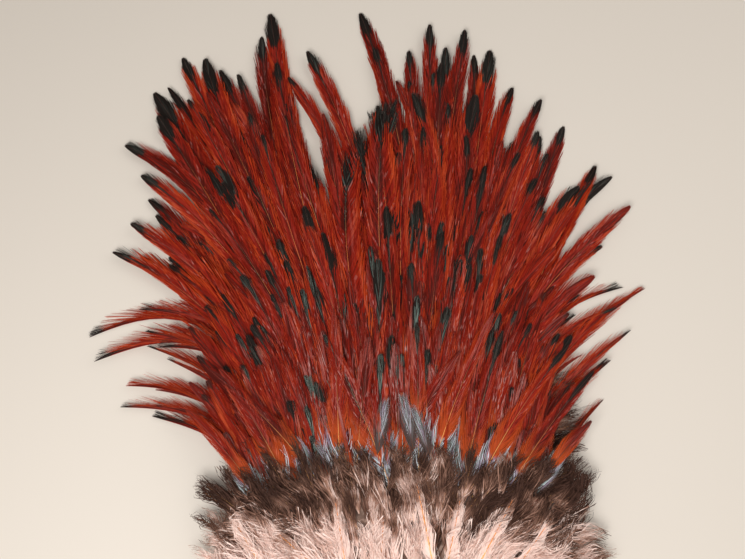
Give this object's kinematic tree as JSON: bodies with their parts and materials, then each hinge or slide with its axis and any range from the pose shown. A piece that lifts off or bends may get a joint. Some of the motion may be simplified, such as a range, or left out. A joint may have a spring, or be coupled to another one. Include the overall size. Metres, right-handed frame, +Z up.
{
  "type": "rooster saddle hackle",
  "caption": "Patch of dried saddle skin carrying a fanned pelt of long narrow red feathers with black tips and dark down at the base.",
  "frame": {"origin": "middle of the flat underside of the skin patch, on the surface that it rests on", "axes": "+Z up out of the skin, +Y from the cut front edge of the skin towards the feather tips, +X to the right seen from above with the tips away from the viewer"},
  "size_m": [0.235, 0.2781, 0.0231],
  "materials": {
    "skin": "dry parchment-like hide, matt",
    "feather": "mahogany red vanes with black tips, soft silky sheen",
    "down": "fluffy dark grey-brown down, matt"
  },
  "bodies": {
    "root": {"saddle_skin": "skin", "rim_feather_01": "feather", "rim_feather_02": "feather", "rim_feather_03": "feather", "rim_feather_04": "feather", "rim_feather_05": "feather", "rim_feather_06": "feather", "rim_feather_07": "feather", "rim_feather_08": "feather", "rim_feather_09": "feather", "rim_feather_10": "feather", "rim_feather_11": "feather", "rim_feather_12": "feather", "rim_feather_13": "feather", "rim_feather_14": "feather", "rim_feather_15": "feather", "rim_feather_16": "feather", "rim_feather_17": "feather", "rim_feather_18": "feather", "rim_feather_19": "feather", "rim_feather_20": "feather", "rim_feather_21": "feather", "rim_feather_22": "feather", "rim_feather_23": "feather", "rim_feather_24": "feather", "rim_feather_25": "feather", "rim_feather_26": "feather", "rim_feather_27": "feather", "rim_feather_28": "feather", "rim_feather_29": "feather", "rim_feather_30": "feather", "rim_feather_31": "feather", "rim_feather_32": "feather", "rim_feather_33": "feather", "rim_feather_34": "feather", "rim_feather_35": "feather", "rim_feather_36": "feather", "rim_feather_37": "feather", "rim_feather_38": "feather", "rim_feather_39": "feather", "rim_feather_40": "feather", "rim_feather_41": "feather", "rim_feather_42": "feather", "rim_feather_43": "feather", "rim_feather_44": "feather", "rim_feather_45": "feather", "rim_feather_46": "feather", "feather_row_1": "feather", "feather_row_2": "feather", "feather_row_3": "feather", "feather_row_4": "feather", "feather_row_5": "feather", "down_cover": "down", "down_ruff": "down"}
  },
  "joints": []
}
